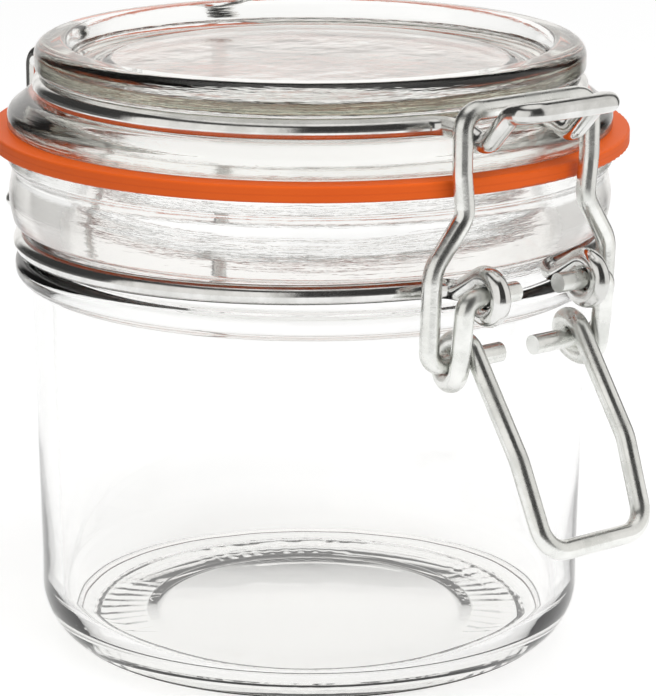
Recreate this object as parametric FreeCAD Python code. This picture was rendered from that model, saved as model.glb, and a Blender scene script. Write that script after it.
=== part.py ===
"""Clip-top preserving jar: glass body, glass lid, rubber seal and the four bent wires of its clasp.

Units are millimetres.  The origin is the centre of the foot, +Z is up, the clasp is at -Y and the
hinge at +Y.  Every wire is symmetric about the plane X = 0, so each one is described by its half
with X < 0, and the other half is its mirror image.
"""
import FreeCAD, Part
import math
import os

from FreeCAD import Vector

# ---------------------------------------------------------------- driving dimensions
wire_d = 2.5                   # every wire of the clasp
running_gap = 0.05             # radial clearance between a wire and the eye that turns on it
seat_gap = 0.05                # between a wire and the glass groove it lies in

# jar body
body_r_top = 37.0              # outer radius under the shoulder bead; every other radius follows it
body_taper = 0.75              # the wall is this much narrower just above the heel
heel_r = 7.5                   # radius of the rounded heel
heel_bulge = 0.1               # the heel is this much wider than the wall above it
heel_slope_z = 3.5             # height of the heel's middle corner, before rounding
heel_top_z = 11.5              # where the heel runs out into the wall
heel_corner_in = 4.95          # the heel's slope would meet the table this far inside the wall
foot_w = 4.9                   # from there in to the edge of the flat ring the jar stands on
punt_step_in = 4.4             # from that edge in to the step round the pushed-up middle
punt_edge_z = 0.3              # foot of that step
punt_slope = 0.8               # width of that step
punt_rise = 0.9                # how far the middle of the base is pushed up
base_thickness = 1.8           # glass under the middle of the inside
floor_dish = 0.1               # how far the middle of the inside floor lies below its edge
wall = 3.0                     # side wall
inner_heel_r = 6.0             # rounding between the inside wall and the inside floor
bead_z = 49.8                  # underside of the shoulder bead: the height of the body
bead_h = 2.8
bead_out = 2.1                 # the bead stands out from the body by this
bead_edge_r = 1.1              # rounding of the bead
groove_play = 2.1              # height of the groove over the neck wire's thickness
groove_in = 0.25               # floor of that groove inside the body's radius
groove_edge_r = 0.9            # rounding at the bottom of the groove
groove_draft = 0.3             # the groove is this much narrower at its bottom, each side
band_out = 2.9                 # widest part of the neck band, out from the body
band_dip = 0.7                 # the band is this much narrower just above the groove and at its waist
band_crown = 0.45              # height of the band's widest part, as a share of the band
band_h = 7.4                   # from the groove to the waist between the band and the sealing lip
lip_h = 3.0                    # sealing lip above the waist
lip_flare = 0.9                # height over which the waist opens out to the lip
lip_w = 8.1                    # width of the sealing lip
mouth_depth = 6.0              # straight bore below the sealing face
throat_depth = 13.4            # below the sealing face, where the bore has widened to the inside wall

# rubber seal
seal_t = 2.1
seal_out = 2.1                 # the seal stands out from the lip
seal_in = 2.7                  # and starts this far out from the bore of the mouth

# glass lid
flange_in = 0.1                # the flange is this much narrower than the jar's lip
flange_h = 4.2                 # flange above the seal
flange_shoulder = 2.6          # width over which the flange's shoulder falls
flange_fall = 2.0              # how far the shoulder falls to the flange's side
lid_groove_in = 5.9            # floor of the lid wire's groove inside the flange's radius
lid_groove_play = 0.3          # height of that groove over the wire's thickness
rim_out = 2.25                 # the top disc stands out from the groove's floor
rim_h = 4.2                    # top disc above the groove
rim_w = 4.25                   # width of the rim round the recess in the lid
moat_w = 5.9                   # from the rim in to the flat middle of the recess
recess_d = 2.6                 # depth of the recess under the rim
recess_moat = 0.5              # the ring round the middle lies this much deeper
moat_slope = 1.2               # width of the slopes on both sides of that ring
lid_plate_t = 3.4              # glass of the middle
spigot_gap = 0.3               # locating ring to the bore of the seal, and to the jar's lip
spigot_w = 3.0                 # width of that locating ring

# neck wire
neck_tilt_deg = 1.0            # the clasp pulls the ring up at the front
neck_front_run = 4.9139        # the ring ends this far beyond an eye's plane, where its lead begins
neck_rear_run = 2.2235         # and this far beyond the hinge bar's end, where the jog begins
eye_lead_out = 1.9             # the lead to an eye stands this far outside the ring
eye_half = 8.1                 # half the distance between the two front eyes
eye_clear = 1.5                # between an eye and the neck band
eye_rise = 1.0                 # axis the lever turns about, over the ring
eye_sweep_deg = 262.0
hinge_side = 3.5               # the hinge bar reaches this far beyond the middle of a hinge leg
hinge_bend_r = 3.0             # centre-line radius of the bends at the ends of the hinge bar
jog_bend_r = 3.6               # and of the bends into the ring

# lid wire
lid_front_run = 2.5068         # the ring ends this far beyond the nose's plane
lid_rear_run = 2.0653          # and this far beyond a hinge leg's plane
leg_half = 15.0                # half the distance between the two hinge legs
leg_out = 0.95                 # a hinge leg stands this far outside the seal's radius
leg_drop = 0.9                 # corner where a leg turns down, under the ring's level
leg_bend_r = 1.8               # centre-line radius of that bend
leg_rise_in = 1.0              # a leg leaves the ring's level this far inside the flange's side
nose_half = 6.9
nose_start_in = 0.2            # the nose leaves the ring's level this far inside the flange's side
nose_saddle_out = 0.5          # saddle that the bail bears on, outside the bail's legs
nose_saddle_drop = 1.3         # and under the ring's level
nose_kink_out = 4.4            # from the saddle to where the nose bends over into its level tip
nose_kink_rise = 3.3           # that bend over the ring's level
nose_tip_out = 3.2             # from that bend to the tip
nose_tip_rise = 0.5
nose_bend_r = 2.2              # centre-line radius of the nose's bends
nose_tip_bend_r = 1.9

# lever
crank_gap = 0.85               # between a crank arm and the eye beside it
coil_gap = 0.15                # between a coil's start and its end
coil_arcs = 8                  # arcs that make up the coil's one turn
coil_min_deg = 270             # a coil wraps at least this far round the bail's end
coil_clear = 0.8               # between a coil and the body
coil_drop = 2.4                # axis the bail turns about, under the shoulder bead
pin_half = 3.4                 # where the pins' free ends stop
knee_in = 0.05                 # the handle is this much narrower at the knee than at the coils
knee_out = 10.7                # from the coils out to the knee
knee_drop = 10.4               # and down to it
bar_in = 0.65                  # the handle is this much narrower at its bar
bar_out = 4.6                  # from the knee out to the bar
bar_drop = 10.8                # and down to it
pin_bend_r = 1.6               # centre-line radii of the lever's bends
knee_bend_r = 8.0
bar_bend_r = 3.4

# bail
bail_low_gap = 0.25            # between the wide part and the coil beside it
bail_top_gap = 0.9             # between the upper legs and the nose between them
bail_waist_in = 0.55           # the waist is this much narrower than the upper legs
stub_half = 2.7                # where the stubs' free ends stop
bail_low_rise = 12.1           # from the stubs up to the top of the wide part
bail_waist_rise = 6.1          # from there up to the waist
bail_neck_rise = 5.5           # from the waist up to where the legs have opened out again
bail_top_over = 3.2            # crossbar over the lid wire's ring
bail_out = 0.9                 # the legs stand this far outside the seal's radius
bail_foot_in = 0.7             # the wide part leans this far in at its top
stub_bend_r = 1.9              # centre-line radii of the bail's bends
bail_low_bend_r = 4.5
bail_waist_bend_r = 3.0
bail_neck_bend_r = 8.0
bail_top_bend_r = 2.4

# ---------------------------------------------------------------- derived radii
wire_r = wire_d / 2
eye_r = wire_d + running_gap               # centre line of an eye that runs on a wire
body_r_low = body_r_top - body_taper
body_inner_r = body_r_top - wall
heel_corner_r = body_r_low - heel_corner_in
foot_in_r = heel_corner_r - foot_w
punt_r = foot_in_r - punt_step_in
bead_r = body_r_top + bead_out
groove_floor_r = body_r_top - groove_in
band_r = body_r_top + band_out
waist_r = band_r - band_dip
lip_r = band_r
mouth_r = lip_r - lip_w
seal_r = lip_r + seal_out
seal_bore_r = mouth_r + seal_in
flange_r = lip_r - flange_in
flange_top_r = flange_r - flange_shoulder
lid_groove_floor_r = flange_r - lid_groove_in
rim_r = lid_groove_floor_r + rim_out
rim_inner_r = rim_r - rim_w
plateau_r = rim_inner_r - moat_w
spigot_r = seal_bore_r - spigot_gap        # ring under the lid that centres it in the seal
lid_skirt_r = spigot_r - spigot_w
neck_wire_r = groove_floor_r + wire_r + seat_gap
lid_wire_r = lid_groove_floor_r + wire_r + seat_gap

# ---------------------------------------------------------------- derived levels
groove_h = wire_d + groove_play
groove_z = bead_z + bead_h
band_z = groove_z + groove_h
waist_z = band_z + band_h
lip_top_z = waist_z + lip_h                # the sealing face
seal_top_z = lip_top_z + seal_t
flange_top_z = seal_top_z + flange_h
rim_low_z = flange_top_z + wire_d + lid_groove_play
lid_top_z = rim_low_z + rim_h
floor_z = punt_rise + base_thickness       # edge of the inside floor, before rounding
recess_z = lid_top_z - recess_d
hollow_z = recess_z - lid_plate_t          # roof of the hollow under the lid
spigot_z = lip_top_z + spigot_gap
neck_wire_z = groove_z + groove_h / 2
lid_wire_z = flange_top_z + wire_r + seat_gap

# ---------------------------------------------------------------- derived places of the clasp
eye_y = -(band_r + eye_clear + wire_r + eye_r)       # axis the lever turns about
eye_z = neck_wire_z + eye_rise
leg_y = seal_r + leg_out
hinge_y = leg_y + eye_r                              # axis the lid turns about
hinge_z = neck_wire_z - hinge_y * math.sin(math.radians(neck_tilt_deg))
hinge_half = leg_half + hinge_side
leg_z = lid_wire_z - leg_drop
leg_rise_y = flange_r - leg_rise_in
coil_y = -(body_r_top + coil_clear + wire_r + eye_r)     # axis the bail turns about
coil_z = bead_z - coil_drop
coil_pitch = wire_d + coil_gap             # sideways step of the coil's one turn
crank_half = eye_half + wire_d + crank_gap
knee_half = crank_half - coil_pitch - knee_in
knee_y = coil_y - knee_out
knee_z = coil_z - knee_drop
bar_half = knee_half - bar_in
bar_y = knee_y - bar_out
bar_z = knee_z - bar_drop
bail_low_half = crank_half + wire_d + bail_low_gap
bail_top_half = nose_half + wire_d + bail_top_gap
bail_waist_half = bail_top_half - bail_waist_in
bail_leg_y = -(seal_r + bail_out)
bail_foot_y = bail_leg_y + bail_foot_in
bail_low_z = coil_z + bail_low_rise
bail_waist_z = bail_low_z + bail_waist_rise
bail_neck_z = bail_waist_z + bail_neck_rise
bail_top_z = lid_wire_z + bail_top_over
nose_start_y = -(flange_r - nose_start_in)
nose_dip_y = bail_leg_y - nose_saddle_out
nose_dip_z = lid_wire_z - nose_saddle_drop
nose_kink_y = nose_dip_y - nose_kink_out
nose_kink_z = lid_wire_z + nose_kink_rise
nose_tip_y = nose_kink_y - nose_tip_out
nose_tip_z = nose_kink_z + nose_tip_rise


# ---------------------------------------------------------------- profiles for revolving
def fillet_edges(corners, fillets, closed=False):
    """Straight runs through the corners, each joined to the next by a tangent arc of its fillet radius."""
    count = len(corners)
    entries, exits, arcs = [], [], []
    for i, corner in enumerate(corners):
        radius = fillets[i]
        if radius == 0 or (not closed and i in (0, count - 1)):
            entries.append(corner)
            exits.append(corner)
            arcs.append(None)
            continue
        back = (corners[i - 1] - corner).normalize()
        ahead = (corners[(i + 1) % count] - corner).normalize()
        half = back.getAngle(ahead) / 2
        cut = radius / math.tan(half)
        start, end = corner + back * cut, corner + ahead * cut
        centre = corner + (back + ahead).normalize() * (radius / math.sin(half))
        middle = centre + (corner - centre).normalize() * radius
        entries.append(start)
        exits.append(end)
        arcs.append(Part.Arc(start, middle, end).toShape())
    edges = []
    for i in range(count):
        if arcs[i]:
            edges.append(arcs[i])
        if i == count - 1 and not closed:
            break
        a, b = exits[i], entries[(i + 1) % count]
        if (b - a).Length > 1e-6:
            edges.append(Part.LineSegment(a, b).toShape())
    return edges


def rounded_profile(points):
    """Closed wire in the XZ plane through (r, z, fillet) points, each corner rounded by its fillet."""
    corners = [Vector(r, 0, z) for r, z, _ in points]
    fillets = [fillet for _, _, fillet in points]
    return Part.Wire(fillet_edges(corners, fillets, closed=True))


def revolve(profile):
    """Solid of revolution about Z of a closed profile."""
    return Part.Face(profile).revolve(Vector(0, 0, 0), Vector(0, 0, 1), 360)


# ---------------------------------------------------------------- bent wires
def sweep_wire(half_edges):
    """One round wire whose centre line is half_edges and their mirror image about X = 0."""
    mirrored = [edge.mirror(Vector(0, 0, 0), Vector(1, 0, 0)) for edge in half_edges]
    path = Part.Wire(Part.__sortEdges__(half_edges + mirrored))
    first = path.OrderedEdges[0]
    start = path.OrderedVertexes[0].Point
    at_start = (first.valueAt(first.FirstParameter) - start).Length < 1e-4
    tangent = first.tangentAt(first.FirstParameter if at_start else first.LastParameter)
    circle = Part.Wire(Part.Circle(start, tangent, wire_r).toShape())
    solid = path.makePipeShell([circle], True, False)
    print("wire length %.1f, volume / (section x length) %.4f, valid %s" % (
        path.Length, solid.Volume / (math.pi * wire_r ** 2 * path.Length), solid.isValid()))
    return solid


def side_point(x, y, z, radius, deg):
    """Point on the circle about (y, z) in the plane X = x; deg runs from outward (-Y) towards +Z."""
    angle = math.radians(deg)
    return Vector(x, y - radius * math.cos(angle), z + radius * math.sin(angle))


def side_arc(x, y, z, radius, start_deg, sweep_deg):
    """Arc of that circle from start_deg on through sweep_deg."""
    stops = [start_deg, start_deg + sweep_deg / 2, start_deg + sweep_deg]
    return Part.Arc(*[side_point(x, y, z, radius, deg) for deg in stops]).toShape()


def tangent_angle(y, z, radius, from_y, from_z, clockwise_in):
    """Polar angle on the circle about (y, z) where a straight run from (from_y, from_z) joins it.

    Seen from -X with outward to the right, clockwise_in says that the run enters a clockwise turn;
    otherwise it is the run that leaves one.
    """
    out, up = y - from_y, from_z - z           # from the centre to the far point, outward and up
    distance = math.hypot(out, up)
    direction = math.atan2(up, out)
    offset = math.acos(radius / distance)
    return math.degrees(direction - offset if clockwise_in else direction + offset)


def ring_point(radius, z, angle):
    """Point of the ring, X < 0, at angle from the front (-Y)."""
    return Vector(-radius * math.sin(angle), -radius * math.cos(angle), z)


def ring_exit(radius, z, across, front):
    """Point of the ring at X = -across, front (-Y) or rear (+Y), with its tangent and its angle."""
    off = math.asin(across / radius)
    angle = off if front else math.pi - off
    tangent = Vector(math.cos(off), (-1 if front else 1) * math.sin(off), 0)
    return ring_point(radius, z, angle), tangent, angle


def ring_corner(point, tangent, x):
    """Where the tangent at a ring exit crosses the plane X = x."""
    return point + tangent * ((x - point.x) / tangent.x)


def ring_half(radius, z, first, last):
    """Ring arc on the side X < 0 between two angles from the front."""
    stops = [first, (first + last) / 2, last]
    return Part.Arc(*[ring_point(radius, z, angle) for angle in stops]).toShape()


# ---------------------------------------------------------------- glass jar
def make_jar():
    """Body with a pushed-up base, a rounded heel, a shoulder bead, the wire's groove, band and lip."""
    outline = [                                # radius, height, rounding of the corner
        (0, punt_rise, 0),
        (punt_r - punt_slope, punt_rise, 0.5),
        (punt_r, punt_edge_z, 0.4),
        (foot_in_r, 0, 2.0),
        (heel_corner_r, 0, heel_r),
        (body_r_low + heel_bulge, heel_slope_z, heel_r),
        (body_r_low, heel_top_z, 0),
        (body_r_top, bead_z - 1.2, 0),
        (body_r_top, bead_z, 0.9),
        (bead_r, bead_z + 0.2, bead_edge_r),
        (bead_r, groove_z, bead_edge_r),
        (groove_floor_r, groove_z + groove_draft, groove_edge_r),
        (groove_floor_r, band_z - groove_draft, groove_edge_r),
        (waist_r, band_z, 0.8),
        (band_r, band_z + band_h * band_crown, 8.0),
        (waist_r, waist_z, 2.0),
        (lip_r, waist_z + lip_flare, 0.8),
        (lip_r, lip_top_z, 0.5),
        (mouth_r, lip_top_z, 1.2),
        (mouth_r, lip_top_z - mouth_depth, 4.0),
        (body_inner_r, lip_top_z - throat_depth, 5.0),
        (body_inner_r, floor_z, inner_heel_r),
        (0, floor_z - floor_dish, 0),
    ]
    return revolve(rounded_profile(outline))


def make_seal():
    """Flat rubber ring between the jar's lip and the lid's flange."""
    outline = [
        (seal_bore_r, lip_top_z, 0.3),
        (seal_r, lip_top_z, 0.35),
        (seal_r, seal_top_z, 0.35),
        (seal_bore_r, seal_top_z, 0.3),
    ]
    return revolve(rounded_profile(outline))


def make_lid():
    """Lid with a dished top, a groove for its wire, a flange on the seal and a hollow underneath."""
    moat_z = recess_z - recess_moat
    outline = [                                # radius, height, rounding of the corner
        (0, recess_z, 0),
        (plateau_r, recess_z, 1.5),
        (plateau_r + moat_slope, moat_z, 1.5),
        (rim_inner_r - moat_slope, moat_z, 2.0),
        (rim_inner_r, lid_top_z, 1.2),
        (rim_r, lid_top_z, 1.9),
        (rim_r, rim_low_z, 1.2),
        (lid_groove_floor_r, rim_low_z - 0.1, 0.9),
        (lid_groove_floor_r, flange_top_z, 0.6),
        (flange_top_r, flange_top_z, 2.0),
        (flange_r, flange_top_z - flange_fall, 1.6),
        (flange_r, seal_top_z, 0.5),
        (spigot_r, seal_top_z, 0.2),
        (spigot_r, spigot_z, 0.4),
        (lid_skirt_r, spigot_z, 0.5),
        (lid_skirt_r - 1.0, hollow_z, 3.0),
        (0, hollow_z, 0),
    ]
    return revolve(rounded_profile(outline))


# ---------------------------------------------------------------- clasp wires
def make_neck_wire():
    """Ring in the jar's groove, with the hinge bar jogged out at the rear and two eyes at the front."""
    rear_point, rear_tangent, rear_angle = ring_exit(
        neck_wire_r, neck_wire_z, hinge_half + neck_rear_run, front=False)
    rear = fillet_edges(
        [Vector(0, hinge_y, neck_wire_z),
         Vector(-hinge_half, hinge_y, neck_wire_z),
         ring_corner(rear_point, rear_tangent, -hinge_half),
         rear_point],
        [0, hinge_bend_r, jog_bend_r, 0])
    front_point, front_tangent, front_angle = ring_exit(
        neck_wire_r, neck_wire_z, eye_half + neck_front_run, front=True)
    # in the tilted ring's own frame the eye sits lower by the rise of the tilt
    eye_z_flat = eye_z + eye_y * math.tan(math.radians(neck_tilt_deg))
    foot = Vector(-eye_half, -(neck_wire_r + eye_lead_out), neck_wire_z)
    enter = tangent_angle(eye_y, eye_z_flat, eye_r, foot.y, foot.z, clockwise_in=True)
    lead = fillet_edges(
        [front_point,
         ring_corner(front_point, front_tangent, -eye_half),
         foot,
         side_point(-eye_half, eye_y, eye_z_flat, eye_r, enter)],
        [0, 3.0, 1.6, 0])
    eye = side_arc(-eye_half, eye_y, eye_z_flat, eye_r, enter, -eye_sweep_deg)
    ring = ring_half(neck_wire_r, neck_wire_z, front_angle, rear_angle)
    wire = sweep_wire(rear + [ring] + lead + [eye])
    wire.rotate(Vector(0, 0, neck_wire_z), Vector(1, 0, 0), -neck_tilt_deg)
    return wire


def make_lid_wire():
    """Ring in the lid's groove, with the raised nose at the front and two hinge legs at the rear."""
    rear_point, rear_tangent, rear_angle = ring_exit(
        lid_wire_r, lid_wire_z, leg_half + lid_rear_run, front=False)
    rear = fillet_edges(
        [rear_point,
         ring_corner(rear_point, rear_tangent, -leg_half),
         Vector(-leg_half, leg_rise_y, lid_wire_z),
         Vector(-leg_half, leg_y, leg_z),
         Vector(-leg_half, leg_y, hinge_z)],
        [0, 3.0, 3.0, leg_bend_r, 0])
    eye = side_arc(-leg_half, hinge_y, hinge_z, eye_r, 0, -eye_sweep_deg)
    front_point, front_tangent, front_angle = ring_exit(
        lid_wire_r, lid_wire_z, nose_half + lid_front_run, front=True)
    nose = fillet_edges(
        [front_point,
         ring_corner(front_point, front_tangent, -nose_half),
         Vector(-nose_half, nose_start_y, lid_wire_z),
         Vector(-nose_half, nose_dip_y, nose_dip_z),
         Vector(-nose_half, nose_kink_y, nose_kink_z),
         Vector(-nose_half, nose_tip_y, nose_tip_z),
         Vector(0, nose_tip_y, nose_tip_z)],
        [0, 2.6, 2.5, nose_bend_r, nose_bend_r, nose_tip_bend_r, 0])
    ring = ring_half(lid_wire_r, lid_wire_z, front_angle, rear_angle)
    return sweep_wire(rear + [eye, ring] + nose)


def coil_edges(x_out, x_in, y, z, start_deg, end_deg):
    """One turn about (y, z) that steps sideways from x_out to x_in, easing in and out of the step."""
    def at(share):
        eased = share * share * (3 - 2 * share)
        return side_point(x_out + (x_in - x_out) * eased, y, z, eye_r,
                          start_deg + (end_deg - start_deg) * share)
    return [Part.Arc(at(i / coil_arcs), at((i + 0.5) / coil_arcs), at((i + 1) / coil_arcs)).toShape()
            for i in range(coil_arcs)]


def make_lever():
    """Handle, a coil each side for the bail, crank arms and the pins that turn in the neck wire's eyes."""
    leg_x = -(crank_half - coil_pitch)
    enter = tangent_angle(coil_y, coil_z, eye_r, eye_y, eye_z, clockwise_in=True)
    leave = tangent_angle(coil_y, coil_z, eye_r, knee_y, knee_z, clockwise_in=False)
    while leave > enter - coil_min_deg:
        leave -= 360
    pin = fillet_edges(
        [Vector(-pin_half, eye_y, eye_z),
         Vector(-crank_half, eye_y, eye_z),
         side_point(-crank_half, coil_y, coil_z, eye_r, enter)],
        [0, pin_bend_r, 0])
    coil = coil_edges(-crank_half, leg_x, coil_y, coil_z, enter, leave)
    handle = fillet_edges(
        [side_point(leg_x, coil_y, coil_z, eye_r, leave),
         Vector(-knee_half, knee_y, knee_z),
         Vector(-bar_half, bar_y, bar_z),
         Vector(0, bar_y, bar_z)],
        [0, knee_bend_r, bar_bend_r, 0])
    return sweep_wire(pin + coil + handle)


def make_bail():
    """Loop from the lever's coils up over the lid wire's nose."""
    half = fillet_edges(
        [Vector(-stub_half, coil_y, coil_z),
         Vector(-bail_low_half, coil_y, coil_z),
         Vector(-bail_low_half, bail_foot_y, bail_low_z),
         Vector(-bail_waist_half, bail_leg_y, bail_waist_z),
         Vector(-bail_top_half, bail_leg_y, bail_neck_z),
         Vector(-bail_top_half, bail_leg_y, bail_top_z),
         Vector(0, bail_leg_y, bail_top_z)],
        [0, stub_bend_r, bail_low_bend_r, bail_waist_bend_r, bail_neck_bend_r, bail_top_bend_r, 0])
    return sweep_wire(half)


# ---------------------------------------------------------------- write the nodes
NODES = {
    "jar_glass": make_jar,
    "seal_ring": make_seal,
    "lid_glass": make_lid,
    "neck_wire": make_neck_wire,
    "lid_wire": make_lid_wire,
    "lever_wire": make_lever,
    "bail_wire": make_bail,
}

os.makedirs("parts", exist_ok=True)
for name, make in NODES.items():
    shape = make()
    print("%-12s %s valid %s volume %.1f mm3" % (name, shape.ShapeType, shape.isValid(), shape.Volume))
    shape.exportStep("parts/%s.step" % name)
print("hinge axis y %.3f z %.3f" % (hinge_y, hinge_z))
print("lever axis y %.3f z %.3f, bail axis y %.3f z %.3f" % (eye_y, eye_z, coil_y, coil_z))
print("lid top %.3f, sealing face %.3f" % (lid_top_z, lip_top_z))
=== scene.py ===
# %% [markdown]
# # A clip-top preserving jar
# A small glass jar with a glass lid, an orange rubber seal and a clasp of four bent wires.
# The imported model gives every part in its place, in metres, with the foot on z = 0, the clasp at -Y
# and the hinge at +Y.  The wires come straight from it and get a zinc finish.  Glass needs surfaces
# without facets, so the two pressed pieces are turned again here on the same outlines.

import math

import bmesh
import bpy
from mathutils import Matrix, Vector


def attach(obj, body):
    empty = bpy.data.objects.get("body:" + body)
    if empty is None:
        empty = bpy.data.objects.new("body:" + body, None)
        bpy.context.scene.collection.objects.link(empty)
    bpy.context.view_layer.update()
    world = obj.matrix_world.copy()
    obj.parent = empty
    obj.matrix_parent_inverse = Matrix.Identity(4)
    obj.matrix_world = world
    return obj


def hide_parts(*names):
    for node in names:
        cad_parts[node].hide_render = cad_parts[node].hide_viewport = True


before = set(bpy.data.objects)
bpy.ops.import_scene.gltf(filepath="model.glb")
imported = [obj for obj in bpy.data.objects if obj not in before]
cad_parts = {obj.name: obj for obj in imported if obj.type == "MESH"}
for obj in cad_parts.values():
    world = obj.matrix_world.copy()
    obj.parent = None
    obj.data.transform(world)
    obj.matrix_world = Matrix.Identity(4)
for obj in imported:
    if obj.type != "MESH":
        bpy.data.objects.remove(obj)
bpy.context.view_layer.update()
MM = 0.001
print("nodes", sorted(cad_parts))

# %% [markdown]
# ## Where the camera stands
# The jar is seen from a little above, with the clasp turned 38 degrees to the right of the camera.
# A camera looks along its own -Z, so it is first tipped up to the horizon, then down by its pitch,
# and turned about the upright axis.  A long lens keeps the rims of lid and foot nearly parallel.

# %% Camera
camera_place = Vector((-258.34, -331.15, 150.03)) * MM
camera_turn = -38.0
camera_pitch = 14.902
camera_roll = 0.108
camera_lens = 167.33
camera_sensor = 36.0
camera_shift = (0.0231, 0.0044)

eye = bpy.data.objects.new("camera", bpy.data.cameras.new("camera"))
bpy.context.scene.collection.objects.link(eye)
eye.matrix_world = (
    Matrix.Translation(camera_place)
    @ Matrix.Rotation(math.radians(camera_turn), 4, "Z")
    @ Matrix.Rotation(math.radians(90 - camera_pitch), 4, "X")
    @ Matrix.Rotation(math.radians(camera_roll), 4, "Z")
)
eye.data.lens = camera_lens
eye.data.sensor_width = camera_sensor
eye.data.shift_x, eye.data.shift_y = camera_shift
eye.data.clip_start = 0.01
eye.data.clip_end = 20.0
bpy.context.scene.camera = eye
print("camera is %.0f mm from the jar's axis" % (camera_place.xy.length / MM))

# %% [markdown]
# ## Building nodes
# Materials and Geometry Nodes are both trees of nodes with links between them.  Two small helpers
# keep the cells below short: one adds a node and fills its inputs, the other opens a node group with
# named sockets.

# %% Node helpers
def add(tree, kind, inputs=None, **settings):
    """A node of this kind; an input is given a plain value, or the socket that feeds it."""
    node = tree.nodes.new(kind)
    for name, value in settings.items():
        setattr(node, name, value)
    for name, value in (inputs or {}).items():
        if isinstance(value, bpy.types.NodeSocket):
            tree.links.new(value, node.inputs[name])
        else:
            node.inputs[name].default_value = value
    return node


def new_group(name, kind, inputs, outputs):
    """An empty node group and its two end nodes; inputs are (name, type, default) rows."""
    tree = bpy.data.node_groups.new(name, kind)
    for label, socket_type, default in inputs:
        socket = tree.interface.new_socket(label, in_out="INPUT", socket_type=socket_type)
        if default is not None:
            socket.default_value = default
    for label, socket_type in outputs:
        tree.interface.new_socket(label, in_out="OUTPUT", socket_type=socket_type)
    return tree, tree.nodes.new("NodeGroupInput"), tree.nodes.new("NodeGroupOutput")


def math_node(tree, operation, first, second=None):
    """The result of one sum on two values or sockets."""
    values = {0: first}
    if second is not None:
        values[1] = second
    return add(tree, "ShaderNodeMath", values, operation=operation).outputs[0]


print("Blender", bpy.app.version_string)

# %% [markdown]
# ## Surface of pressed glass
# A mould leaves glass smooth but never quite true.  Broad, shallow waves bend whatever is seen
# through it, and where the glass is thick, in the neck and the lid, the plunger also leaves fine
# streaks that run round the piece and a faint haze.  All of it is a few hundredths of a millimetre
# deep, so a bump on the normal does it, without a single extra face.  One group serves the jar and
# the lid; a height range says where the streaks set in.

# %% Glass surface group
pressed, pressed_in, pressed_out = new_group(
    "pressed glass surface", "ShaderNodeTree",
    [("Wave Size", "NodeSocketFloat", 0.018), ("Wave Depth", "NodeSocketFloat", 0.00006),
     ("Streak Size", "NodeSocketFloat", 0.012), ("Streak Depth", "NodeSocketFloat", 0.00004),
     ("Haze", "NodeSocketFloat", 0.05), ("Streaks From", "NodeSocketFloat", 0.048),
     ("Streaks Full", "NodeSocketFloat", 0.053)],
    [("Normal", "NodeSocketVector"), ("Roughness", "NodeSocketFloat")],
)
STREAK_SQUASH = (1.0, 1.0, 20.0)
here = add(pressed, "ShaderNodeTexCoord").outputs["Object"]
above = add(pressed, "ShaderNodeSeparateXYZ", {0: here}).outputs["Z"]
thick = add(pressed, "ShaderNodeMapRange",
            {"Value": above, "From Min": pressed_in.outputs["Streaks From"],
             "From Max": pressed_in.outputs["Streaks Full"], "To Min": 0.0, "To Max": 1.0},
            interpolation_type="SMOOTHSTEP").outputs[0]
waves = add(pressed, "ShaderNodeTexNoise",
            {"Vector": here,
             "Scale": math_node(pressed, "DIVIDE", 1.0, pressed_in.outputs["Wave Size"]),
             "Detail": 2.0, "Roughness": 0.45}).outputs["Fac"]
squashed = add(pressed, "ShaderNodeVectorMath", {0: here, 1: STREAK_SQUASH},
               operation="MULTIPLY").outputs[0]
streaks = add(pressed, "ShaderNodeTexNoise",
              {"Vector": squashed,
               "Scale": math_node(pressed, "DIVIDE", 1.0, pressed_in.outputs["Streak Size"]),
               "Detail": 3.0, "Roughness": 0.6}).outputs["Fac"]
wave_height = math_node(pressed, "MULTIPLY", waves, pressed_in.outputs["Wave Depth"])
streaks_here = math_node(pressed, "MULTIPLY", streaks, thick)
streak_height = math_node(pressed, "MULTIPLY", streaks_here, pressed_in.outputs["Streak Depth"])
pressed_bump = add(pressed, "ShaderNodeBump",
                   {"Height": math_node(pressed, "ADD", wave_height, streak_height),
                    "Distance": 1.0, "Strength": 1.0})
haze = math_node(pressed, "MULTIPLY", streaks_here, pressed_in.outputs["Haze"])
pressed.links.new(pressed_bump.outputs["Normal"], pressed_out.inputs["Normal"])
pressed.links.new(haze, pressed_out.inputs["Roughness"])
print("glass surface group has", len(pressed.nodes), "nodes")

# %% [markdown]
# ## Clear glass
# One Principled shader with full transmission bends the light.  Soda glass has a faint grey-green
# tint that shows only where the path through it is long, so the tint sits in the volume, not on the
# surface.  Lamps would cast the shadow of a solid lump, because light bent by glass is not traced
# back to them, so shadow rays pass straight through a Transparent shader instead.

# %% Glass material
GLASS_IOR = 1.5
SHADOW_TINT = (0.97, 0.97, 0.96, 1.0)


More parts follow.
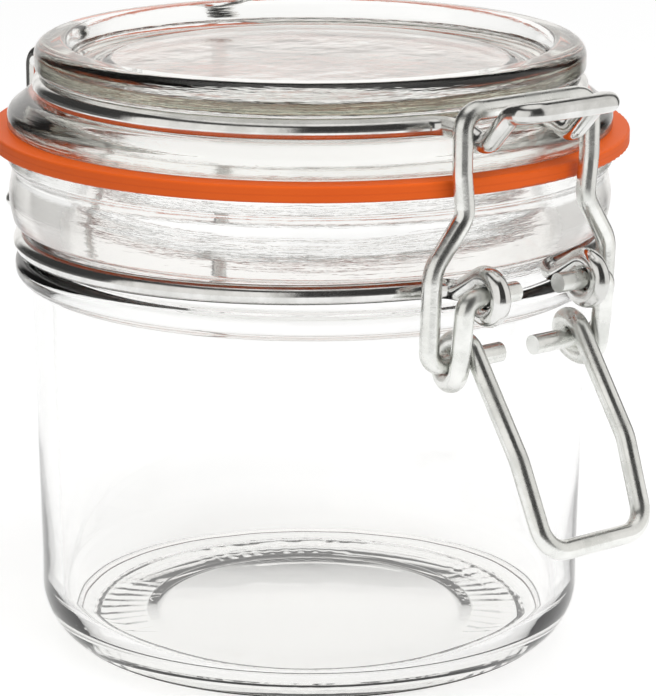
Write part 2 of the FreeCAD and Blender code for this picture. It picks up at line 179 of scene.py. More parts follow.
def make_glass(name, tint, density, **surface):
    """Clear glass whose volume takes on tint, the more so the higher its density per metre."""
    material = bpy.data.materials.new(name)
    material.use_nodes = True
    tree = material.node_tree
    tree.nodes.clear()
    skin = add(tree, "ShaderNodeGroup", node_tree=pressed)
    for label, value in surface.items():
        skin.inputs[label.replace("_", " ").title()].default_value = value
    glass = add(tree, "ShaderNodeBsdfPrincipled",
                {"Base Color": (1.0, 1.0, 1.0, 1.0), "Roughness": skin.outputs["Roughness"],
                 "IOR": GLASS_IOR, "Transmission Weight": 1.0, "Normal": skin.outputs["Normal"]})
    clear = add(tree, "ShaderNodeBsdfTransparent", {"Color": SHADOW_TINT})
    path = add(tree, "ShaderNodeLightPath")
    either = add(tree, "ShaderNodeMixShader",
                 {0: path.outputs["Is Shadow Ray"], 1: glass.outputs[0], 2: clear.outputs[0]})
    body = add(tree, "ShaderNodeVolumeAbsorption", {"Color": tint, "Density": density})
    out = add(tree, "ShaderNodeOutputMaterial", {"Surface": either.outputs[0]})
    tree.links.new(body.outputs[0], out.inputs["Volume"])
    return material


jar_glass = make_glass("clear pressed glass", (0.82, 0.825, 0.78, 1.0), 18.0,
                       wave_size=0.018, wave_depth=0.00006, streak_size=0.012, streak_depth=0.000032,
                       haze=0.07, streaks_from=0.0495, streaks_full=0.0540)
lid_glass = make_glass("thick pressed glass", (0.76, 0.77, 0.66, 1.0), 26.0,
                       wave_size=0.007, wave_depth=0.00004, streak_size=0.010, streak_depth=0.00005,
                       haze=0.14, streaks_from=0.0, streaks_full=0.0100)
print("glass:", jar_glass.name, "and", lid_glass.name)

# %% [markdown]
# ## Outlines of the glass
# Pressed glass is round, so its shape is one outline turned about the upright axis.  Each row holds a
# radius, a height and the rounding of that corner in millimetres, and the rounding becomes a short
# arc of points.  A fourth number, where a row has one, asks for points that close together on the
# run to the next corner, because a relief is pressed into that run.  The two faces that meet the
# seal lie a few hundredths of a millimetre off it: glass on rubber keeps a film of air, and without
# it the orange would shine through the whole flange.

# %% Rounded outline
ARC_STEP = 9.0  # degrees between the points of a rounding
RUN_SHARE = 0.9  # how much of a run is filled before the next rounding starts


def rounded_outline(rows):
    """Points (radius, height) along an open outline whose inner corners are rounded."""
    points = []
    count = len(rows)
    for i, row in enumerate(rows):
        corner = Vector(row[:2])
        rounding = row[2]
        if rounding == 0 or i in (0, count - 1):
            points.append(corner)
        else:
            back = (Vector(rows[i - 1][:2]) - corner).normalized()
            ahead = (Vector(rows[i + 1][:2]) - corner).normalized()
            half = back.angle(ahead) / 2
            inset = rounding / math.tan(half)
            start = corner + back * inset
            end = corner + ahead * inset
            centre = corner + (back + ahead).normalized() * (rounding / math.sin(half))
            spoke = start - centre
            turn = -spoke.angle_signed(end - centre)
            steps = max(2, math.ceil(abs(math.degrees(turn)) / ARC_STEP))
            for k in range(steps + 1):
                points.append(centre + Matrix.Rotation(turn * k / steps, 2) @ spoke)
        if len(row) > 3:
            spacing = row[3]
            reach = Vector(rows[i + 1][:2])
            last = points[-1].copy()
            parts = max(1, int((reach - last).length * RUN_SHARE / spacing))
            for k in range(1, parts):
                points.append(last.lerp(reach, k / parts * RUN_SHARE))
    return points


# radius, height, rounding and, where a relief is pressed in, the spacing of the points, all in mm
jar_rows = [
    (0, 0.9, 0), (20.6, 0.9, 4.0), (22.6, 0.35, 3.0), (26.4, 0.02, 2.0, 0.4), (31.3, 0.02, 7.5),
    (36.35, 3.5, 7.5), (36.25, 11.5, 0), (37.0, 48.6, 0), (37.0, 49.8, 0.9), (39.1, 50.0, 1.1),
    (39.1, 52.6, 1.1), (36.75, 52.9, 0.9), (36.75, 56.9, 0.9), (39.2, 57.2, 0.8), (39.9, 60.53, 8.0),
    (39.2, 64.6, 2.0), (39.9, 65.5, 0.8), (39.9, 67.54, 0.5), (31.8, 67.54, 1.2), (31.8, 61.6, 4.0),
    (34.0, 54.2, 5.0), (34.0, 2.7, 6.0), (0, 2.6, 0),
]
lid_rows = [
    (0, 78.3, 0), (26.0, 78.3, 1.5), (27.2, 77.8, 1.5), (30.7, 77.8, 2.0), (31.9, 80.9, 1.2),
    (36.15, 80.9, 1.9), (36.15, 76.7, 1.2), (33.9, 76.6, 0.9), (33.9, 73.9, 0.6), (37.2, 73.9, 2.0),
    (39.8, 71.9, 1.6), (39.8, 69.76, 0.5), (34.2, 69.76, 0.2), (34.2, 67.9, 0.4), (31.2, 67.9, 0.5),
    (30.2, 74.9, 3.0), (0, 74.9, 0),
]
jar_points = rounded_outline(jar_rows)
lid_points = rounded_outline(lid_rows)
print("outline points: jar", len(jar_points), "lid", len(lid_points))

# %% [markdown]
# ## Turning an outline with Geometry Nodes
# A Screw modifier or bmesh's spin could turn the outline, but here a relief has to be pressed into
# the same surface, with its strength changing along the outline.  So a flat grid with one row for
# each outline point is bent round the axis: each grid point looks up its outline point by number,
# and the relief moves it up by a wave that runs round the jar, broken up by a fine speckle and worn
# away in patches.

# %% The turning tree
MERGE_DISTANCE = 1e-6
SPECKLE_SCALE = 420.0  # spots about 2.4 mm apart
WEAR_SCALE = 38.0  # patches about 26 mm across
WORN_BELOW = 0.44
FRESH_ABOVE = 0.58
turning, turn_in, turn_out = new_group(
    "turn an outline", "GeometryNodeTree",
    [("Outline", "NodeSocketGeometry", None), ("Segments", "NodeSocketInt", 360),
     ("Ridges", "NodeSocketInt", 60), ("Relief", "NodeSocketFloat", 0.0),
     ("Roughened", "NodeSocketFloat", 0.0), ("Material", "NodeSocketMaterial", None)],
    [("Turned", "NodeSocketGeometry")],
)
outline = turn_in.outputs["Outline"]
rows_there = add(turning, "GeometryNodeAttributeDomainSize", {"Geometry": outline}, component="MESH")
row_count = rows_there.outputs["Point Count"]
grid = add(turning, "GeometryNodeMeshGrid",
           {"Size X": 1.0, "Size Y": 1.0,
            "Vertices X": math_node(turning, "ADD", turn_in.outputs["Segments"], 1),
            "Vertices Y": row_count})
flat = add(turning, "ShaderNodeSeparateXYZ", {0: add(turning, "GeometryNodeInputPosition").outputs[0]})
row_number = math_node(turning, "MULTIPLY", math_node(turning, "ADD", flat.outputs["Y"], 0.5),
                       math_node(turning, "SUBTRACT", row_count, 1))
row_index = add(turning, "FunctionNodeFloatToInt", {0: row_number}, rounding_mode="ROUND").outputs[0]
angle = math_node(turning, "MULTIPLY", math_node(turning, "ADD", flat.outputs["X"], 0.5), math.tau)


def looked_up(data_type, field):
    """The outline's own value at this grid point's row."""
    node = add(turning, "GeometryNodeSampleIndex", data_type=data_type, domain="POINT")
    turning.links.new(outline, node.inputs["Geometry"])
    turning.links.new(field, node.inputs["Value"])
    turning.links.new(row_index, node.inputs["Index"])
    return node.outputs["Value"]


spot = looked_up("FLOAT_VECTOR", add(turning, "GeometryNodeInputPosition").outputs[0])
strength = looked_up("FLOAT", add(turning, "GeometryNodeInputNamedAttribute", {"Name": "relief"},
                                  data_type="FLOAT").outputs["Attribute"])
turned = add(turning, "ShaderNodeVectorRotate", {"Vector": spot, "Angle": angle},
             rotation_type="Z_AXIS")
ridge_angle = math_node(turning, "MULTIPLY", angle, turn_in.outputs["Ridges"])
ridge = math_node(turning, "ADD",
                  math_node(turning, "MULTIPLY", math_node(turning, "COSINE", ridge_angle), 0.5), 0.5)
speckle = add(turning, "ShaderNodeTexNoise",
              {"Vector": turned.outputs[0], "Scale": SPECKLE_SCALE, "Detail": 1.0})
wander = math_node(turning, "MULTIPLY", speckle.outputs["Fac"], turn_in.outputs["Roughened"])
wear = add(turning, "ShaderNodeTexNoise",
           {"Vector": turned.outputs[0], "Scale": WEAR_SCALE, "Detail": 0.0})
fresh = add(turning, "ShaderNodeMapRange",
            {"Value": wear.outputs["Fac"], "From Min": WORN_BELOW, "From Max": FRESH_ABOVE,
             "To Min": 0.0, "To Max": 1.0}, interpolation_type="SMOOTHSTEP").outputs[0]
height = math_node(turning, "MULTIPLY", math_node(turning, "ADD", ridge, wander), fresh)
lift = math_node(turning, "MULTIPLY", math_node(turning, "MULTIPLY", height, strength),
                 turn_in.outputs["Relief"])
moved = add(turning, "ShaderNodeCombineXYZ", {"Z": lift})
place = add(turning, "ShaderNodeVectorMath",
            {0: turned.outputs[0], 1: moved.outputs[0]}, operation="ADD")
bent = add(turning, "GeometryNodeSetPosition",
           {"Geometry": grid.outputs["Mesh"], "Position": place.outputs[0]})
joined = add(turning, "GeometryNodeMergeByDistance",
             {"Geometry": bent.outputs[0], "Distance": MERGE_DISTANCE})
real = add(turning, "GeometryNodeRealizeInstances", {"Geometry": joined.outputs[0]})
painted = add(turning, "GeometryNodeSetMaterial",
              {"Geometry": real.outputs[0], "Material": turn_in.outputs["Material"]})
turning.links.new(painted.outputs[0], turn_out.inputs["Turned"])
print("turning tree has", len(turning.nodes), "nodes")

# %% [markdown]
# ## From the tree to a piece
# The outline goes in as a bare line of points, each with the strength of the relief there.  The
# turned surface is then taken as a plain mesh, so that the mesh holds just what is seen.  It has to
# be closed, with every face turned outwards, or the light would bend the wrong way; so open edges
# and the volume are printed.

# %% Turn one piece
def turn_piece(name, points, material, relief=None, **inputs):
    """A closed smooth mesh of the outline turned about Z; relief(radius, height) is its strength."""
    line = bpy.data.meshes.new(name + " outline")
    line.from_pydata([(p.x * MM, 0, p.y * MM) for p in points],
                     [(i, i + 1) for i in range(len(points) - 1)], [])
    weights = line.attributes.new("relief", "FLOAT", "POINT")
    weights.data.foreach_set("value", [relief(p.x, p.y) if relief else 0.0 for p in points])
    piece = bpy.data.objects.new(name, line)
    bpy.context.scene.collection.objects.link(piece)
    modifier = piece.modifiers.new("turn", "NODES")
    modifier.node_group = turning
    inputs["Material"] = material
    for socket in turning.interface.items_tree:
        if socket.in_out == "INPUT" and socket.name in inputs:
            modifier[socket.identifier] = inputs[socket.name]
    shown = piece.evaluated_get(bpy.context.evaluated_depsgraph_get())
    mesh = bpy.data.meshes.new_from_object(shown)
    piece.modifiers.clear()
    piece.data = mesh
    mesh.name = name
    skin = bmesh.new()
    skin.from_mesh(mesh)
    bmesh.ops.remove_doubles(skin, verts=skin.verts, dist=MERGE_DISTANCE)
    bmesh.ops.recalc_face_normals(skin, faces=skin.faces)
    open_edges = sum(1 for edge in skin.edges if not edge.is_manifold)
    volume = skin.calc_volume(signed=True)
    if volume < 0:
        bmesh.ops.reverse_faces(skin, faces=skin.faces)
    skin.to_mesh(mesh)
    skin.free()
    mesh.shade_smooth()
    print("%s: %d faces, %d open edges, %.1f cm3" % (name, len(mesh.polygons), open_edges,
                                                    abs(volume) * 1e6))
    return piece


print("the tree asks for", [s.name for s in turning.interface.items_tree if s.in_out == "INPUT"])

# %% [markdown]
# ## The jar
# Under the jar, the ring it stands on is stippled with short marks, which keep the hot glass from
# crazing where it touches the belt.  They are pressed up into the foot, about a fifth of a
# millimetre at most, and stay faint or fade out in patches, so the jar still stands flat.

# %% Jar
STIPPLE_FROM = 22.5  # radii, widths and heights in mm
STIPPLE_TO = 30.5
STIPPLE_FADE_IN = 0.8
STIPPLE_FADE_OUT = 1.2
UNDERSIDE_TOP = 0.9


def foot_stipple(radius, height):
    """1 on the underside between the step of the base and the heel, fading at both edges."""
    if height > UNDERSIDE_TOP or radius < STIPPLE_FROM or radius > STIPPLE_TO:
        return 0.0
    inner = (radius - STIPPLE_FROM) / STIPPLE_FADE_IN
    outer = (STIPPLE_TO - radius) / STIPPLE_FADE_OUT
    return max(0.0, min(1.0, inner, outer))


jar = turn_piece("jar_body", jar_points, jar_glass, foot_stipple,
                 Segments=432, Ridges=72, Relief=0.06 * MM, Roughened=3.5)
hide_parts("jar_glass")
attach(jar, "jar")

# %% [markdown]
# ## The lid
# The lid is pressed thicker than the jar, with a dished top, a groove for its wire and a flange that
# sits on the seal.  Its surfaces are plain, so no relief is asked for.

# %% Lid
lid = turn_piece("lid_body", lid_points, lid_glass, Segments=360)
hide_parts("lid_glass")
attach(lid, "lid")

# %% [markdown]
# ## Rubber seal
# The seal is cut from a moulded tube of orange rubber: nearly even in colour, with a dull skin and
# a thin line left by the cut halfway up its edge.  A picture could carry that, but noise and a height
# in the object's own coordinates stay sharp at any distance and need no unwrapping.

# %% Rubber material
SEAL_MIDDLE = 68.65 * MM
CUT_CORE = 0.05 * MM
CUT_EDGE = 0.16 * MM
CUT_SHADE = 0.2
SKIN_DEPTH = 0.012 * MM
GRAIN_SHARE = 0.3
RUBBER_CLOUD_SCALE = 90.0
RUBBER_GRAIN_SCALE = 2600.0  # grain about 0.4 mm across
SMOOTH_SKIN = 0.46
ROUGH_SKIN = 0.62
RUBBER_DEEP = (0.77, 0.104, 0.008, 1.0)
RUBBER_BRIGHT = (0.88, 0.142, 0.013, 1.0)
RUBBER_CUT = (0.60, 0.075, 0.006, 1.0)
rubber = bpy.data.materials.new("orange rubber")
rubber.use_nodes = True
rubber_tree = rubber.node_tree
rubber_shader = rubber_tree.nodes["Principled BSDF"]
rubber_here = add(rubber_tree, "ShaderNodeTexCoord").outputs["Object"]
rubber_above = add(rubber_tree, "ShaderNodeSeparateXYZ", {0: rubber_here}).outputs["Z"]
rubber_cloud = add(rubber_tree, "ShaderNodeTexNoise",
                   {"Vector": rubber_here, "Scale": RUBBER_CLOUD_SCALE, "Detail": 3.0}).outputs["Fac"]
rubber_grain = add(rubber_tree, "ShaderNodeTexNoise",
                   {"Vector": rubber_here, "Scale": RUBBER_GRAIN_SCALE, "Detail": 2.0}).outputs["Fac"]
from_middle = math_node(rubber_tree, "ABSOLUTE",
                        math_node(rubber_tree, "SUBTRACT", rubber_above, SEAL_MIDDLE))
cut_line = add(rubber_tree, "ShaderNodeMapRange",
               {"Value": from_middle, "From Min": CUT_CORE, "From Max": CUT_EDGE,
                "To Min": 1.0, "To Max": 0.0}, interpolation_type="SMOOTHSTEP").outputs[0]
rubber_shade = add(rubber_tree, "ShaderNodeMix",
                   {"Factor": rubber_cloud, "A": RUBBER_DEEP, "B": RUBBER_BRIGHT}, data_type="RGBA")
rubber_color = add(rubber_tree, "ShaderNodeMix",
                   {"Factor": math_node(rubber_tree, "MULTIPLY", cut_line, CUT_SHADE),
                    "B": RUBBER_CUT}, data_type="RGBA")
rubber_tree.links.new(rubber_shade.outputs["Result"], rubber_color.inputs["A"])
rubber_height = math_node(rubber_tree, "ADD",
                          math_node(rubber_tree, "MULTIPLY", rubber_grain, GRAIN_SHARE), cut_line)
rubber_bump = add(rubber_tree, "ShaderNodeBump",
                  {"Height": rubber_height, "Distance": SKIN_DEPTH, "Strength": 1.0})
rubber_rough = add(rubber_tree, "ShaderNodeMapRange",
                   {"Value": rubber_cloud, "To Min": SMOOTH_SKIN, "To Max": ROUGH_SKIN}).outputs[0]
rubber_tree.links.new(rubber_color.outputs["Result"], rubber_shader.inputs["Base Color"])
rubber_tree.links.new(rubber_rough, rubber_shader.inputs["Roughness"])
rubber_tree.links.new(rubber_bump.outputs["Normal"], rubber_shader.inputs["Normal"])
rubber_shader.inputs["Specular IOR Level"].default_value = 0.28
print("rubber material has", len(rubber_tree.nodes), "nodes")

# %% [markdown]
# ## Zinc wire
# The wires are drawn steel with a zinc plating, with cloudy patches where the plating is duller, and
# fine scuffs.  A flat metal looks like chrome; the patches bring it down to zinc.  The two rings that
# lie in the glass keep their bright drawn skin, while the lever and the bail, which are handled, are
# satin.  The lever and the bail also get a paler zinc colour than the rings, which is painted light:
# it stands in for the brighter light they catch.  One group of nodes serves both finishes.

# %% Zinc group
CLOUD_SCALE = 210.0  # dull patches about 5 mm across
SCUFF_SCALE = 1500.0
CLEAR_BELOW = 0.35
DULL_ABOVE = 0.70
CLOUD_SHARE = 0.7
SCUFF_SHARE = 0.3
zinc, zinc_in, zinc_out = new_group(
    "zinc plating", "ShaderNodeTree",
    [("Clear Color", "NodeSocketColor", (0.8, 0.8, 0.79, 1.0)),
     ("Dull Color", "NodeSocketColor", (0.6, 0.6, 0.58, 1.0)),
     ("Smoothest", "NodeSocketFloat", 0.07), ("Roughest", "NodeSocketFloat", 0.3),
     ("Scuff Depth", "NodeSocketFloat", 0.000012)],
    [("Color", "NodeSocketColor"), ("Roughness", "NodeSocketFloat"), ("Normal", "NodeSocketVector")],
)
zinc_here = add(zinc, "ShaderNodeTexCoord").outputs["Object"]
zinc_cloud = add(zinc, "ShaderNodeTexNoise",
                 {"Vector": zinc_here, "Scale": CLOUD_SCALE, "Detail": 4.0,
                  "Roughness": 0.6}).outputs["Fac"]
zinc_scuff = add(zinc, "ShaderNodeTexNoise",
                 {"Vector": zinc_here, "Scale": SCUFF_SCALE, "Detail": 3.0,
                  "Roughness": 0.7}).outputs["Fac"]
zinc_dull = add(zinc, "ShaderNodeMapRange",
                {"Value": zinc_cloud, "From Min": CLEAR_BELOW, "From Max": DULL_ABOVE,
                 "To Min": 0.0, "To Max": 1.0}, interpolation_type="SMOOTHSTEP").outputs[0]
zinc_color = add(zinc, "ShaderNodeMix", {"Factor": zinc_dull}, data_type="RGBA")
zinc.links.new(zinc_in.outputs["Clear Color"], zinc_color.inputs["A"])
zinc.links.new(zinc_in.outputs["Dull Color"], zinc_color.inputs["B"])
zinc_share = math_node(zinc, "ADD", math_node(zinc, "MULTIPLY", zinc_dull, CLOUD_SHARE),
                       math_node(zinc, "MULTIPLY", zinc_scuff, SCUFF_SHARE))
zinc_rough = add(zinc, "ShaderNodeMapRange",
                 {"Value": zinc_share, "To Min": zinc_in.outputs["Smoothest"],
                  "To Max": zinc_in.outputs["Roughest"]}).outputs[0]
zinc_bump = add(zinc, "ShaderNodeBump",
                {"Height": math_node(zinc, "MULTIPLY", zinc_scuff, zinc_in.outputs["Scuff Depth"]),
                 "Distance": 1.0, "Strength": 1.0})
zinc.links.new(zinc_color.outputs["Result"], zinc_out.inputs["Color"])
zinc.links.new(zinc_rough, zinc_out.inputs["Roughness"])
zinc.links.new(zinc_bump.outputs["Normal"], zinc_out.inputs["Normal"])
print("zinc group has", len(zinc.nodes), "nodes")

# %% [markdown]
# ## Two finishes of wire
# A wire's material is no more than the plating group joined to a metal.  Only the group's numbers
# differ between the bright rings and the satin lever and bail, so one function makes both.  Their
# roughness differs as a finish does; the paler colour of the lever and bail is painted light.

# %% Wire materials
def make_wire(name, **finish):
    """Zinc-plated wire; finish gives the group's inputs by name."""
    material = bpy.data.materials.new(name)
    material.use_nodes = True
    tree = material.node_tree
    plating = add(tree, "ShaderNodeGroup", node_tree=zinc)
    for label, value in finish.items():
        plating.inputs[label.replace("_", " ").title()].default_value = value
    metal = tree.nodes["Principled BSDF"]
    tree.links.new(plating.outputs["Color"], metal.inputs["Base Color"])
    tree.links.new(plating.outputs["Roughness"], metal.inputs["Roughness"])
    tree.links.new(plating.outputs["Normal"], metal.inputs["Normal"])
    metal.inputs["Metallic"].default_value = 1.0
    return material


ring_wire = make_wire("bright zinc wire", clear_color=(0.78, 0.78, 0.765, 1.0),
                      dull_color=(0.64, 0.64, 0.62, 1.0), smoothest=0.07, roughest=0.26,
                      scuff_depth=0.000010)
# lever and bail: satin roughness, and a paler colour that is painted light for the brighter light they
# catch
clasp_wire_painted_lighter = make_wire("satin zinc wire painted lighter", clear_color=(0.84, 0.845, 0.82, 1.0),
                       dull_color=(0.70, 0.71, 0.68, 1.0), smoothest=0.17, roughest=0.36,
                       scuff_depth=0.000016)
print("wire:", ring_wire.name, "and", clasp_wire_painted_lighter.name)

# %% [markdown]
# ## Seal and wires as packed
# The seal and the four wires are already round and smooth where it counts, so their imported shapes
# stay, and each only trades its plain material for the real one.

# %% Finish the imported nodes
for node_name, material in (("seal_ring", rubber), ("neck_wire", ring_wire), ("lid_wire", ring_wire),
                            ("lever_wire", clasp_wire_painted_lighter), ("bail_wire", clasp_wire_painted_lighter)):
    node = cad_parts[node_name]
    for slot in node.material_slots:
        slot.material = material
    print(node_name, "is", material.name)

# %% [markdown]
# ## Floor
# A pale table top, wide enough that its edge is never seen.  It is matt, so the jar's soft shadow
# lies on it.  For sight lines only, it also gives a little light of its own, which lifts it to white
# without any more light on the jar, and gives more of it far off, where the lamps no longer reach.

# %% Floor
FLOOR_REACH = 6.0
FLOOR_DROP = 0.1 * MM
LIFT_NEAR = 0.41
LIFT_FAR = 0.67
LIFT_FROM = 0.25  # metres from the jar's axis
LIFT_FULL = 1.6


def sight_line(tree):
    """1 for what the camera, a mirror or glass sees, 0 for light that falls on a surface."""
    path = add(tree, "ShaderNodeLightPath")
    turned_away = math_node(tree, "MAXIMUM", path.outputs["Is Glossy Ray"],
                            path.outputs["Is Transmission Ray"])
    return math_node(tree, "MAXIMUM", path.outputs["Is Camera Ray"], turned_away)


floor_mesh = bpy.data.meshes.new("floor")
corners = [(x * FLOOR_REACH, y * FLOOR_REACH, -FLOOR_DROP)
           for x, y in ((-1, -1), (1, -1), (1, 1), (-1, 1))]
floor_mesh.from_pydata(corners, [], [(0, 1, 2, 3)])
floor = bpy.data.objects.new("floor", floor_mesh)
bpy.context.scene.collection.objects.link(floor)
floor_paint = bpy.data.materials.new("pale table")
floor_paint.use_nodes = True
floor_tree = floor_paint.node_tree
floor_tree.nodes.clear()
floor_matt = add(floor_tree, "ShaderNodeBsdfDiffuse", {"Color": (0.80, 0.80, 0.80, 1.0)})
floor_out = add(floor_tree, "ShaderNodeVectorMath",
                {0: add(floor_tree, "ShaderNodeTexCoord").outputs["Object"]}, operation="LENGTH")
floor_lift = add(floor_tree, "ShaderNodeMapRange",
                 {"Value": floor_out.outputs["Value"], "From Min": LIFT_FROM, "From Max": LIFT_FULL,
                  "To Min": LIFT_NEAR, "To Max": LIFT_FAR},
                 interpolation_type="SMOOTHSTEP").outputs[0]
floor_share = math_node(floor_tree, "MULTIPLY", sight_line(floor_tree), floor_lift)
floor_glow = add(floor_tree, "ShaderNodeEmission", {"Color": (1, 1, 1, 1), "Strength": floor_share})
floor_both = add(floor_tree, "ShaderNodeAddShader",
                 {0: floor_matt.outputs[0], 1: floor_glow.outputs[0]})
add(floor_tree, "ShaderNodeOutputMaterial", {"Surface": floor_both.outputs[0]})
floor_paint.cycles.emission_sampling = "NONE"
floor_mesh.materials.append(floor_paint)
print("floor is %.0f m wide" % (2 * FLOOR_REACH))

# %% [markdown]
# ## Room
# The room is white wherever it is seen, straight, mirrored or through glass, and gives an even soft
# light at a plain level.  The light tent below stands inside it, and takes its place in all that
# glass and metal show.

# %% Room
AMBIENT_LEVEL = 0.42
world = bpy.data.worlds.new("white room")
bpy.context.scene.world = world
world.use_nodes = True
room = world.node_tree
room.nodes.clear()
white = add(room, "ShaderNodeBackground", {"Color": (1, 1, 1, 1), "Strength": 1.0})
ambient = add(room, "ShaderNodeBackground", {"Color": (1, 1, 1, 1), "Strength": AMBIENT_LEVEL})
whole = add(room, "ShaderNodeMixShader",
            {0: sight_line(room), 1: ambient.outputs[0], 2: white.outputs[0]})
add(room, "ShaderNodeOutputWorld", {"Surface": whole.outputs[0]})
print("room light is", AMBIENT_LEVEL)

# %% [markdown]
# ## Light tent
# Clear glass and bright metal show only what surrounds them.  In an all-white room they fade away,
# so such a piece is set in a white tent with dark cards between its lit panels: one panel behind, a
# wide one at the left, a strip at the right and one overhead.  The tent here is a dome that neither
# the camera nor the lamps notice, and through glass its cards are pale grey, not black.  Each panel
# is a soft-edged patch of directions, found from the bearing and the height of a point on the dome.
# The same cloth serves the ring card further down: there the height is nil, and it darkens with the
# distance from the jar instead.

# %% Light tent
TENT_REACH = 2.0
CARD_LEVEL = 0.05  # how bright a card is, where a lit panel is 1
TABLE_CARD_LEVEL = 0.12
GLASS_CARD_LEVEL = 0.70
TABLE_LIT = 0.22  # the table is lit out to this radius and dark from the next one, in metres
TABLE_DARK = 0.30
STRIP_LEVEL = 0.9
WALL_TOP = 0.55  # heights as a share of the dome's
WALL_GONE = 0.72
ROOF_FULL = 0.93
ROOF_GONE = 0.80
TABLE_HEIGHT = 1e-4
TENT_WHITE = (1.0, 0.985, 0.965, 1)
tent_skin = bmesh.new()
bmesh.ops.create_uvsphere(tent_skin, u_segments=64, v_segments=32, radius=TENT_REACH)
tent_mesh = bpy.data.meshes.new("tent")
tent_skin.to_mesh(tent_mesh)
tent_skin.free()
tent = bpy.data.objects.new("tent", tent_mesh)
bpy.context.scene.collection.objects.link(tent)
tent_cloth = bpy.data.materials.new("tent cloth and cards")
tent_cloth.use_nodes = True
cloth = tent_cloth.node_tree
cloth.nodes.clear()
direction = add(cloth, "ShaderNodeSeparateXYZ",
                {0: add(cloth, "ShaderNodeTexCoord").outputs["Object"]})
bearing = math_node(cloth, "ARCTAN2", direction.outputs["X"],
                    math_node(cloth, "MULTIPLY", direction.outputs["Y"], -1.0))
rise = math_node(cloth, "DIVIDE", direction.outputs["Z"], TENT_REACH)


def fade(value, full, none):
    """1 where value is at full, falling to 0 at none."""
    return add(cloth, "ShaderNodeMapRange",
               {"Value": value, "From Min": none, "From Max": full, "To Min": 0.0, "To Max": 1.0},
               interpolation_type="SMOOTHSTEP").outputs[0]


def panel(bearing_deg, half_deg, soft_deg):
    """A lit panel round one bearing: 0 is the clasp's side, 90 the side of +X."""
    turn = math_node(cloth, "SUBTRACT", bearing, math.radians(bearing_deg))
    wrapped = add(cloth, "ShaderNodeMath", {0: turn, 1: math.pi, 2: -math.pi}, operation="WRAP")
    gap = math_node(cloth, "ABSOLUTE", wrapped.outputs[0])
    return fade(gap, math.radians(half_deg), math.radians(half_deg + soft_deg))


behind = panel(bearing_deg=142, half_deg=26, soft_deg=12)
left_panel = panel(bearing_deg=279, half_deg=32, soft_deg=7)
right_panel = panel(bearing_deg=52, half_deg=30, soft_deg=12)
right_strip = math_node(cloth, "MULTIPLY", right_panel, STRIP_LEVEL)
low = fade(rise, WALL_TOP, WALL_GONE)
sides = math_node(cloth, "MAXIMUM", math_node(cloth, "MAXIMUM", behind, left_panel), right_strip)
top_panel = fade(rise, ROOF_FULL, ROOF_GONE)
upright = math_node(cloth, "MAXIMUM", math_node(cloth, "MULTIPLY", sides, low),
                    math_node(cloth, "MULTIPLY", right_strip, STRIP_LEVEL))
squares = [math_node(cloth, "POWER", direction.outputs[axis], 2.0) for axis in ("X", "Y")]
across = math_node(cloth, "POWER", math_node(cloth, "ADD", *squares), 0.5)
on_table = math_node(cloth, "LESS_THAN", rise, TABLE_HEIGHT)
near_table = math_node(cloth, "MULTIPLY", fade(across, TABLE_LIT, TABLE_DARK), on_table)
lit_share = math_node(cloth, "MAXIMUM", math_node(cloth, "MAXIMUM", upright, top_panel), near_table)
card_level = math_node(cloth, "ADD", CARD_LEVEL,
                       math_node(cloth, "MULTIPLY", on_table, TABLE_CARD_LEVEL - CARD_LEVEL))
cloth_path = add(cloth, "ShaderNodeLightPath")
through_glass = math_node(cloth, "MULTIPLY", cloth_path.outputs["Is Transmission Ray"],
                          GLASS_CARD_LEVEL)
level = math_node(cloth, "MAXIMUM", lit_share,
                  math_node(cloth, "MAXIMUM", card_level, through_glass))
cloth_glow = add(cloth, "ShaderNodeEmission", {"Color": TENT_WHITE, "Strength": level})
add(cloth, "ShaderNodeOutputMaterial", {"Surface": cloth_glow.outputs[0]})
tent_cloth.cycles.emission_sampling = "NONE"
tent_mesh.materials.append(tent_cloth)
tent.visible_camera = False
tent.visible_diffuse = False
tent.visible_shadow = False
print("the tent has", len(cloth.nodes), "nodes")

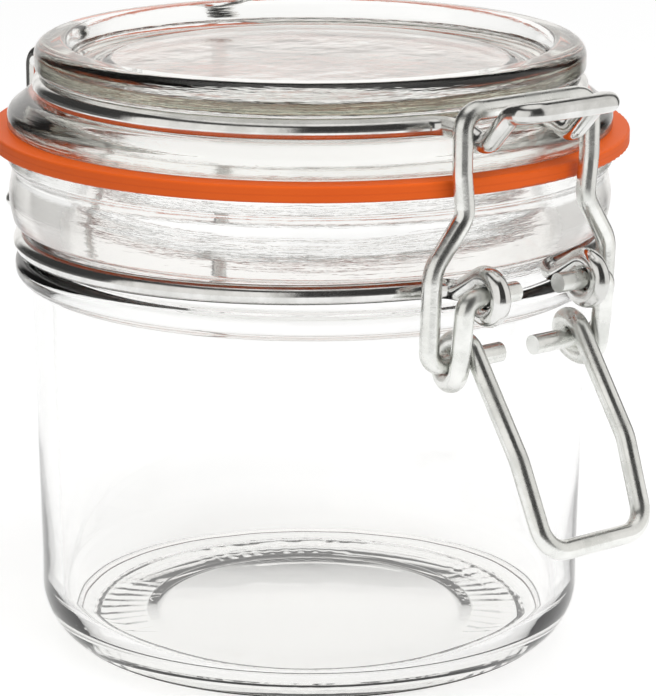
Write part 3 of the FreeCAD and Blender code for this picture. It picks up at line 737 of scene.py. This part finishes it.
# %% [markdown]
# ## Ring card
# A wire mirrors the table as much as the tent, so the same dark stretches are laid on the table as
# a wide ring round the jar, outside a white disc.  Only mirrored sight lines meet it; the glass
# still shows the white table.

# %% Ring card
RING_NEAR = TABLE_LIT
RING_FAR = 1.9
RING_LIFT = 0.1 * MM
RING_PARTS = 72
ring_points = []
for k in range(RING_PARTS):
    turn = math.tau * k / RING_PARTS
    ring_points.append((RING_NEAR * math.sin(turn), -RING_NEAR * math.cos(turn), 0.0))
    ring_points.append((RING_FAR * math.sin(turn), -RING_FAR * math.cos(turn), 0.0))
ring_faces = [(2 * k, 2 * k + 1, (2 * k + 3) % (2 * RING_PARTS), (2 * k + 2) % (2 * RING_PARTS))
              for k in range(RING_PARTS)]
ring_mesh = bpy.data.meshes.new("ring card")
ring_mesh.from_pydata(ring_points, [], ring_faces)
ring_mesh.materials.append(tent_cloth)
ring_card = bpy.data.objects.new("ring_card", ring_mesh)
bpy.context.scene.collection.objects.link(ring_card)
ring_card.location = (0, 0, RING_LIFT)
ring_card.visible_camera = False
ring_card.visible_diffuse = False
ring_card.visible_transmission = False
ring_card.visible_shadow = False
print("ring card has", len(ring_faces), "faces")

# %% [markdown]
# ## Lamps
# Soft plain light: one large lamp overhead and a weaker one in front, at a level where a colour
# comes out about as it is written.

# %% Lamps
LOOK_AT = Vector((0, 0, 0.04))


def soft_lamp(name, place, width, height, watts):
    """A rectangular lamp at place that faces the jar; sizes in metres."""
    data = bpy.data.lights.new(name, "AREA")
    data.shape = "RECTANGLE"
    data.size = width
    data.size_y = height
    data.energy = watts
    lamp = bpy.data.objects.new(name, data)
    bpy.context.scene.collection.objects.link(lamp)
    lamp.location = place
    lamp.rotation_euler = (LOOK_AT - Vector(place)).to_track_quat("-Z", "Y").to_euler()
    lamp.visible_glossy = False
    lamp.visible_transmission = False
    return lamp


soft_lamp("overhead", place=(-0.1, -0.2, 1.0), width=1.0, height=0.8, watts=5.0)
soft_lamp("front", place=(0.0, -0.95, 0.55), width=0.9, height=0.5, watts=3.4)
bpy.context.scene.view_settings.view_transform = "Standard"
